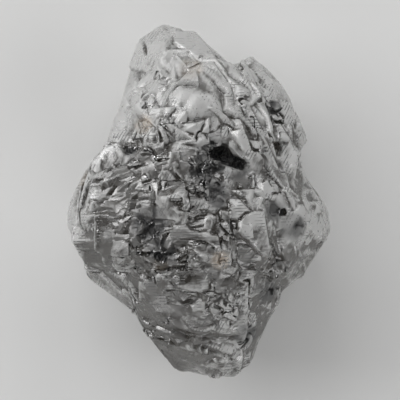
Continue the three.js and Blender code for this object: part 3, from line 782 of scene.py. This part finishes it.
class Nodes:
    """Short ways to add nodes to a material."""

    def __init__(self, name):
        self.material = bpy.data.materials.new(name)
        self.material.use_nodes = True
        self.tree = self.material.node_tree
        self.shader = self.tree.nodes["Principled BSDF"]
        self.output = self.tree.nodes["Material Output"]

    def add(self, kind, inputs=(), **settings):
        """A node with its settings, and its inputs set to numbers or linked from sockets."""
        node = self.tree.nodes.new(kind)
        for key, value in settings.items():
            setattr(node, key, value)
        for key, value in dict(inputs).items():
            self.feed(node.inputs[key], value)
        return node

    def feed(self, socket, value):
        """Sets a socket to a number or colour, or links it from another socket."""
        if isinstance(value, bpy.types.NodeSocket):
            self.tree.links.new(value, socket)
        else:
            socket.default_value = value

    def point(self):
        """Object coordinates in metres."""
        return self.add("ShaderNodeTexCoord").outputs["Object"]

    def stored(self, name):
        """A number stored on the mesh's points."""
        return self.add("ShaderNodeAttribute", attribute_name=name).outputs["Fac"]

    def sum(self, kind, a, b, c=0.0, clamp=False):
        """Arithmetic on numbers."""
        node = self.add("ShaderNodeMath", operation=kind, use_clamp=clamp)
        for socket, value in zip(node.inputs, (a, b, c)):
            self.feed(socket, value)
        return node.outputs[0]

    def part(self, share, a, b):
        """A number from a to b by the share."""
        return self.sum("MULTIPLY_ADD", share, self.sum("SUBTRACT", b, a), a)

    def ramp(self, value, low, high, to_low=0.0, to_high=1.0):
        """Maps a number smoothly from one range to another."""
        node = self.add("ShaderNodeMapRange", interpolation_type="SMOOTHSTEP")
        for socket, number in zip(node.inputs, (value, low, high, to_low, to_high)):
            self.feed(socket, number)
        return node.outputs[0]

    def noise(self, vector, scale, detail=4.0, rough=0.55):
        """A cloudy pattern from 0 to 1; scale is in patches a metre."""
        inputs = {"Vector": vector, "Scale": scale, "Detail": detail, "Roughness": rough}
        return self.add("ShaderNodeTexNoise", inputs).outputs["Fac"]

    def turned(self, vector, degrees, scale):
        """Coordinates for a pattern that is stretched by the scale and then turned about Z."""
        inputs = {"Vector": vector, "Rotation": (0, 0, math.radians(degrees)), "Scale": scale}
        return self.add("ShaderNodeMapping", inputs, vector_type="TEXTURE").outputs[0]

    def blend(self, share, a, b, kind="MIX"):
        """A mix of two colours."""
        node = self.add("ShaderNodeMix", data_type="RGBA", blend_type=kind)
        self.feed(node.inputs["Factor"], share)
        self.feed(node.inputs[6], a)
        self.feed(node.inputs[7], b)
        return node.outputs[2]


def opaque(colour):
    """A colour with full cover."""
    return (*colour, 1.0)


# Clouds and grains of the finish: patches a metre, detail and roughness.
CLOUD, FLECK, STRIPE = (900, 5.0, 0.6), (7500, 4.0, 0.65), (11000, 3.0, 0.6)
LINE_GAPS, DULLNESS, GRAIN = (3000, 2.0, 0.5), (2600, 3.0, 0.6), (5200, 5.0, 0.6)
# How much longer than wide stripes are, along X, Y and Z.
STRIPE_SHAPE = (8, 1, 2)
# The thin lines' waves.
WAVE = {"Scale": 4400.0, "Distortion": 5.0, "Detail": 2.0, "Detail Scale": 0.15}
# How much paler, or greyer, each of these makes the stone. Bowls and clefts are painted shade
# in hollows and a painted highlight on ridges.
ALL_OVER, SHARD_PALE, BOWL_SHADE_AND_LIGHT, CLEFT_SHADE_AND_LIGHT = -0.06, 0.6, -0.65, -1.1
STRIPE_PALE, FLECK_PALE = 2.0, 1.2
# The glossy end and the dull end of the roughness, and what pits and clefts add to it.
GLOSSY, DULL, PIT_DULL, CLEFT_DULL = 0.19, 0.47, 0.3, -0.15
# Relief too fine for the skin: its depth, its strength, and what each pattern adds to its height.
RELIEF_DEPTH, RELIEF_STRENGTH = 2.5e-5, 0.36
GRAIN_HEIGHT, STRIPE_HEIGHT, LINE_HEIGHT = 0.8, 0.6, -0.5


def diamond_material(look):
    """Grey see-through diamond: milky and grey zones, striped faces, dark pits, painted highlights.

    Paleness, from the grey colour to the milky one, adds a cloud, the zone, the shard's own tone,
    stripes and flecks, and takes away bowls and clefts. The zone is in part painted light and
    shade, and bowls and clefts are painted shade in hollows and a painted highlight on
    ridges. The dark mark is the scratches or the pits' dark grains and painted shade, whichever
    is more. The bump's height adds a noise and the stripes, and takes away the lines.
    """
    n = Nodes("diamond")
    point = n.point()
    cleft, bowl, shard = n.stored("cleft"), n.stored("bowl"), n.stored("shard")
    zone, pit = n.stored("zone"), n.stored("pit")
    cloud, fleck = n.noise(point, *CLOUD), n.noise(point, *FLECK)

    # Each shard is striped one of three ways, by its own tone.
    stripes = [
        n.noise(n.turned(point, turn, STRIPE_SHAPE), *STRIPE)
        for turn in (LATTICE_TURN, LATTICE_TURN + 60, LATTICE_TURN + 120)
    ]
    stripe = n.part(n.ramp(shard, -0.12, -0.08), stripes[0], stripes[1])
    stripe = n.part(n.ramp(shard, 0.18, 0.22), stripe, stripes[2])

    # The zone paints light and shade in part: paler at the upper left and the rims, greyer inside.
    pale = n.sum("ADD", n.ramp(cloud, 0.3, 0.7, 0.0, 0.85), n.sum("ADD", zone, ALL_OVER))
    # Bowls and clefts take paleness away as painted shade in hollows and add it as a painted
    # highlight on ridges.
    for value, weight in ((shard, SHARD_PALE), (bowl, BOWL_SHADE_AND_LIGHT), (cleft, CLEFT_SHADE_AND_LIGHT)):
        pale = n.sum("MULTIPLY_ADD", value, weight, pale)
    pale = n.sum("MULTIPLY_ADD", n.sum("SUBTRACT", stripe, 0.5), STRIPE_PALE, pale)
    pale = n.sum("MULTIPLY_ADD", n.sum("SUBTRACT", fleck, 0.5), FLECK_PALE, pale, clamp=True)
    colour = n.blend(pale, opaque(look.grey), opaque(look.milky))
    stain = n.sum("MULTIPLY", n.stored("warm"), n.ramp(cloud, 0.4, 0.6, 0.2, 0.8))
    colour = n.blend(stain, colour, opaque(look.warm))

    # Thin lines go two ways, where a noise lets them.
    bands = [
        n.add(
            "ShaderNodeTexWave",
            {"Vector": n.turned(point, turn, (1, 1, 1)), **WAVE},
            bands_direction="Y",
        ).outputs["Fac"]
        for turn in (LATTICE_TURN - 3, LATTICE_TURN + 57)
    ]
    lines = n.part(n.ramp(shard, -0.02, 0.02), *bands)
    let = n.ramp(n.noise(point, *LINE_GAPS), 0.51, 0.60)
    lines = n.sum("MULTIPLY", n.ramp(lines, 0.72, 0.92), let)

    # Dark scratches are the peaks of the stripes and the lines, and are fainter in pale zones.
    scratches = n.sum("MAXIMUM", n.sum("MAXIMUM", *stripes[:2]), stripes[2])
    let = n.ramp(cloud, 0.40, 0.54, 0.0, 0.85)
    scratches = n.sum("MULTIPLY", n.ramp(scratches, 0.66, 0.71), let)
    scratches = n.sum("MULTIPLY_ADD", lines, 0.9, scratches)
    scratches = n.sum("MULTIPLY", scratches, n.ramp(zone, 0.3, 0.8, 1.0, 0.3))
    # The pits' dark colour is their dark grains and painted shade in their hollows.
    scratches_and_pit_shade = n.sum("MAXIMUM", scratches, pit, clamp=True)
    colour = n.blend(scratches_and_pit_shade, colour, opaque(look.dark))
    n.feed(n.shader.inputs["Base Color"], colour)

    rough = n.ramp(n.noise(point, *DULLNESS), 0.35, 0.65, GLOSSY, DULL)
    rough = n.sum("MULTIPLY_ADD", pit, PIT_DULL, rough)
    rough = n.sum("MULTIPLY_ADD", cleft, CLEFT_DULL, rough, clamp=True)
    n.feed(n.shader.inputs["Roughness"], rough)
    n.shader.inputs["IOR"].default_value = look.ior
    n.shader.inputs["Specular IOR Level"].default_value = look.specular
    n.shader.inputs["Transmission Weight"].default_value = look.transmission

    height = n.sum("MULTIPLY", stripe, STRIPE_HEIGHT)
    height = n.sum("MULTIPLY_ADD", n.noise(point, *GRAIN), GRAIN_HEIGHT, height)
    height = n.sum("MULTIPLY_ADD", lines, LINE_HEIGHT, height)
    relief = {"Strength": RELIEF_STRENGTH, "Distance": RELIEF_DEPTH, "Height": height}
    n.feed(n.shader.inputs["Normal"], n.add("ShaderNodeBump", relief).outputs[0])

    absorb = n.add("ShaderNodeVolumeAbsorption")
    absorb.inputs["Color"].default_value = opaque(look.tint)
    absorb.inputs["Density"].default_value = look.density
    n.feed(n.output.inputs["Volume"], absorb.outputs[0])
    return n.material


# The board's cloud (patches a metre, detail, roughness), how dark its patches are, and its finish.
BOARD_CLOUD, BOARD_SHADE = (90, 3.0, 0.5), 0.93
BOARD_ROUGHNESS, BOARD_SPECULAR = 0.85, 0.2


def floor_material(look):
    """Matt pale board with a faint unevenness."""
    n = Nodes("pale_board")
    cloud = n.noise(n.point(), *BOARD_CLOUD)
    shade = opaque([BOARD_SHADE * c for c in look.floor])
    n.feed(n.shader.inputs["Base Color"], n.blend(cloud, opaque(look.floor), shade))
    n.shader.inputs["Roughness"].default_value = BOARD_ROUGHNESS
    n.shader.inputs["Specular IOR Level"].default_value = BOARD_SPECULAR
    return n.material


class RoughDiamondStone(Operator):
    """Grow the stone's surface over the frame's solid and give it its finish"""

    bl_idname = "rough_diamond.stone"
    bl_label = "Stone"

    def execute(self, context):
        shape, look = context.scene.stone_shape, context.scene.stone_finish
        stone = merged_copy(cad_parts[NODE], "stone")
        worn(stone, shape.groove, COARSE_GRAIN * shape.grain)
        fuse(stone, shape.grain)
        layers = []
        for seed, rows in enumerate((SHARDS, LATHS, FLAKES), FIRST_SEED):
            layer = joined_sets(stone, rows, shape, seed)
            points, _ = corner_arrays(stone.data)
            height, _ = raised(points, normal_array(stone.data), layer, 0.0, shape.most)
            shifted(stone, height)
            relaxed(stone, 1)
            layers.append(layer)
            if rows is LATHS:
                sink_pits(stone, shape)
        polished(stone)
        thin_out(stone, MOST_TRIANGLES)
        drop_crumbs(stone)
        stone.data.polygons.foreach_set("use_smooth", [True] * len(stone.data.polygons))
        stone.data.set_sharp_from_angle(angle=shape.crisp)
        mark(stone.data, layers)
        stone.data.materials.clear()
        stone.data.materials.append(diamond_material(look))
        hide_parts(NODE)
        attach(stone, "root")
        return {"FINISHED"}


def cove_mesh(radius, cove, wall):
    """A floor that curves up into a wall: a profile carried round the vertical.

    The profile runs out along the floor to the radius, up a quarter circle of the cove's size, and
    up the wall, and each of its points goes round a full circle.
    """
    quarter = np.linspace(0, math.pi / 2, COVE_STEPS + 1)
    out = [[0.2 * radius, 0.5 * radius], radius + cove * np.sin(quarter), [radius + cove]]
    out = np.concatenate(out)
    up = np.concatenate([[0, 0], cove * (1 - np.cos(quarter)), [wall]])
    angle = np.linspace(0, 2 * math.pi, ROUND_STEPS, endpoint=False)
    rings = np.stack(
        [
            np.outer(out, np.cos(angle)),
            np.outer(out, np.sin(angle)),
            np.outer(up, np.ones(ROUND_STEPS)),
        ],
        2,
    )
    points = np.concatenate([[[0, 0, 0]], rings.reshape(-1, 3)])
    ring, step = np.meshgrid(np.arange(len(out) - 1), np.arange(ROUND_STEPS), indexing="ij")
    first = 1 + ROUND_STEPS * ring + step
    after = 1 + ROUND_STEPS * ring + (step + 1) % ROUND_STEPS
    quads = np.stack([first, first + ROUND_STEPS, after + ROUND_STEPS, after], 2).reshape(-1, 4)
    here = np.arange(ROUND_STEPS)
    middle = np.stack([0 * here, 1 + here, 1 + (here + 1) % ROUND_STEPS], 1)
    mesh = bpy.data.meshes.new("floor")
    mesh.from_pydata(points.tolist(), [], quads.tolist() + middle.tolist())
    mesh.polygons.foreach_set("use_smooth", [True] * len(mesh.polygons))
    return mesh


# The floor's size: its flat radius, the cove round it, the wall's height, and how far it lies below
# the stone. The cove has so many steps up, and the floor so many round.
FLOOR_RADIUS, FLOOR_COVE, FLOOR_WALL, FLOOR_GAP = 0.12, 0.05, 0.09, 2e-6
COVE_STEPS, ROUND_STEPS = 16, 96
# What the lamps aim at.
AIM = Vector((0, 0, 2 * MM))
# The camera's lens and sensor in mm, and the nearest that it sees.
LENS, SENSOR, NEAREST = 100, 36, 1e-3
# The camera looks straight down on a square picture of so many pixels, in which the stone is so
# many pixels long. Its distance counts from the height at which the outline is widest.
PICTURE_PIXELS, STONE_PIXELS = 400, 347
STONE_LENGTH, OUTLINE_HEIGHT = 9.0 * MM, 1.9 * MM
# Soft lamps: compass angle from +X and height in degrees, distance, width and power.
LAMPS = (
    (118, 38, 0.12, 0.10, 0.071),
    (60, 28, 0.12, 0.07, 0.028),
    (0, 28, 0.12, 0.07, 0.025),
    (-60, 28, 0.12, 0.07, 0.031),
    (-120, 28, 0.12, 0.07, 0.020),
    (165, 28, 0.12, 0.07, 0.060),
)


class RoughDiamondStage(Operator):
    """Set the floor, the lamps and the camera"""

    bl_idname = "rough_diamond.stage"
    bl_label = "Stage"

    def execute(self, context):
        scene, look = context.scene, context.scene.stage_look
        floor = linked("floor", cove_mesh(FLOOR_RADIUS, FLOOR_COVE, FLOOR_WALL))
        floor.location.z = -FLOOR_GAP
        floor.data.materials.append(floor_material(look))
        world = bpy.data.worlds.new("sky")
        world.use_nodes = True
        sky = world.node_tree.nodes["Background"]
        sky.inputs["Color"].default_value = (look.sky, look.sky, look.sky, 1)
        scene.world = world
        scene.view_settings.view_transform = "Standard"
        for number, (compass, height, distance, width, power) in enumerate(LAMPS):
            lamp = bpy.data.lights.new(f"lamp_{number}", "AREA")
            lamp.energy = power * look.brightness
            lamp.size = width
            holder = bpy.data.objects.new(lamp.name, lamp)
            scene.collection.objects.link(holder)
            a, b = math.radians(compass), math.radians(height)
            way = Vector((math.cos(a) * math.cos(b), math.sin(a) * math.cos(b), math.sin(b)))
            holder.location = AIM + distance * way
            holder.rotation_euler = way.to_track_quat("Z", "Y").to_euler()
            holder.visible_camera = False
        camera = bpy.data.cameras.new("camera")
        camera.lens, camera.sensor_width, camera.clip_start = LENS, SENSOR, NEAREST
        holder = bpy.data.objects.new("camera", camera)
        scene.collection.objects.link(holder)
        pixel = STONE_LENGTH / STONE_PIXELS
        above = PICTURE_PIXELS * pixel * LENS / SENSOR
        holder.location = (pixel, -0.5 * pixel, above + OUTLINE_HEIGHT)
        scene.camera = holder
        return {"FINISHED"}


class RoughDiamondPanel(Panel):
    """The stone and its stage"""

    bl_idname = "VIEW3D_PT_rough_diamond"
    bl_label = "Rough Diamond"
    bl_space_type = "VIEW_3D"
    bl_region_type = "UI"
    bl_category = "Rough Diamond"

    def draw(self, context):
        for title, group, operator in PARTS:
            box = self.layout.box()
            box.label(text=title)
            for owner in group:
                settings = getattr(context.scene, owner)
                for name in settings.__annotations__:
                    box.prop(settings, name)
            box.operator(operator.bl_idname)


PARTS = (
    ("Stone", ("stone_shape", "stone_finish"), RoughDiamondStone),
    ("Stage", ("stage_look",), RoughDiamondStage),
)
GROUPS = (("stone_shape", StoneShape), ("stone_finish", StoneFinish), ("stage_look", StageLook))
CLASSES = (
    StoneShape,
    StoneFinish,
    StageLook,
    RoughDiamondStone,
    RoughDiamondStage,
    RoughDiamondPanel,
)


def register():
    for kind in CLASSES:
        bpy.utils.register_class(kind)
    for name, kind in GROUPS:
        setattr(bpy.types.Scene, name, PointerProperty(type=kind))


def unregister():
    for name, _ in GROUPS:
        delattr(bpy.types.Scene, name)
    for kind in reversed(CLASSES):
        bpy.utils.unregister_class(kind)


def main():
    """Makes every piece in order."""
    register()
    bpy.ops.rough_diamond.stone()
    bpy.ops.rough_diamond.stage()


if __name__ == "__main__":
    main()
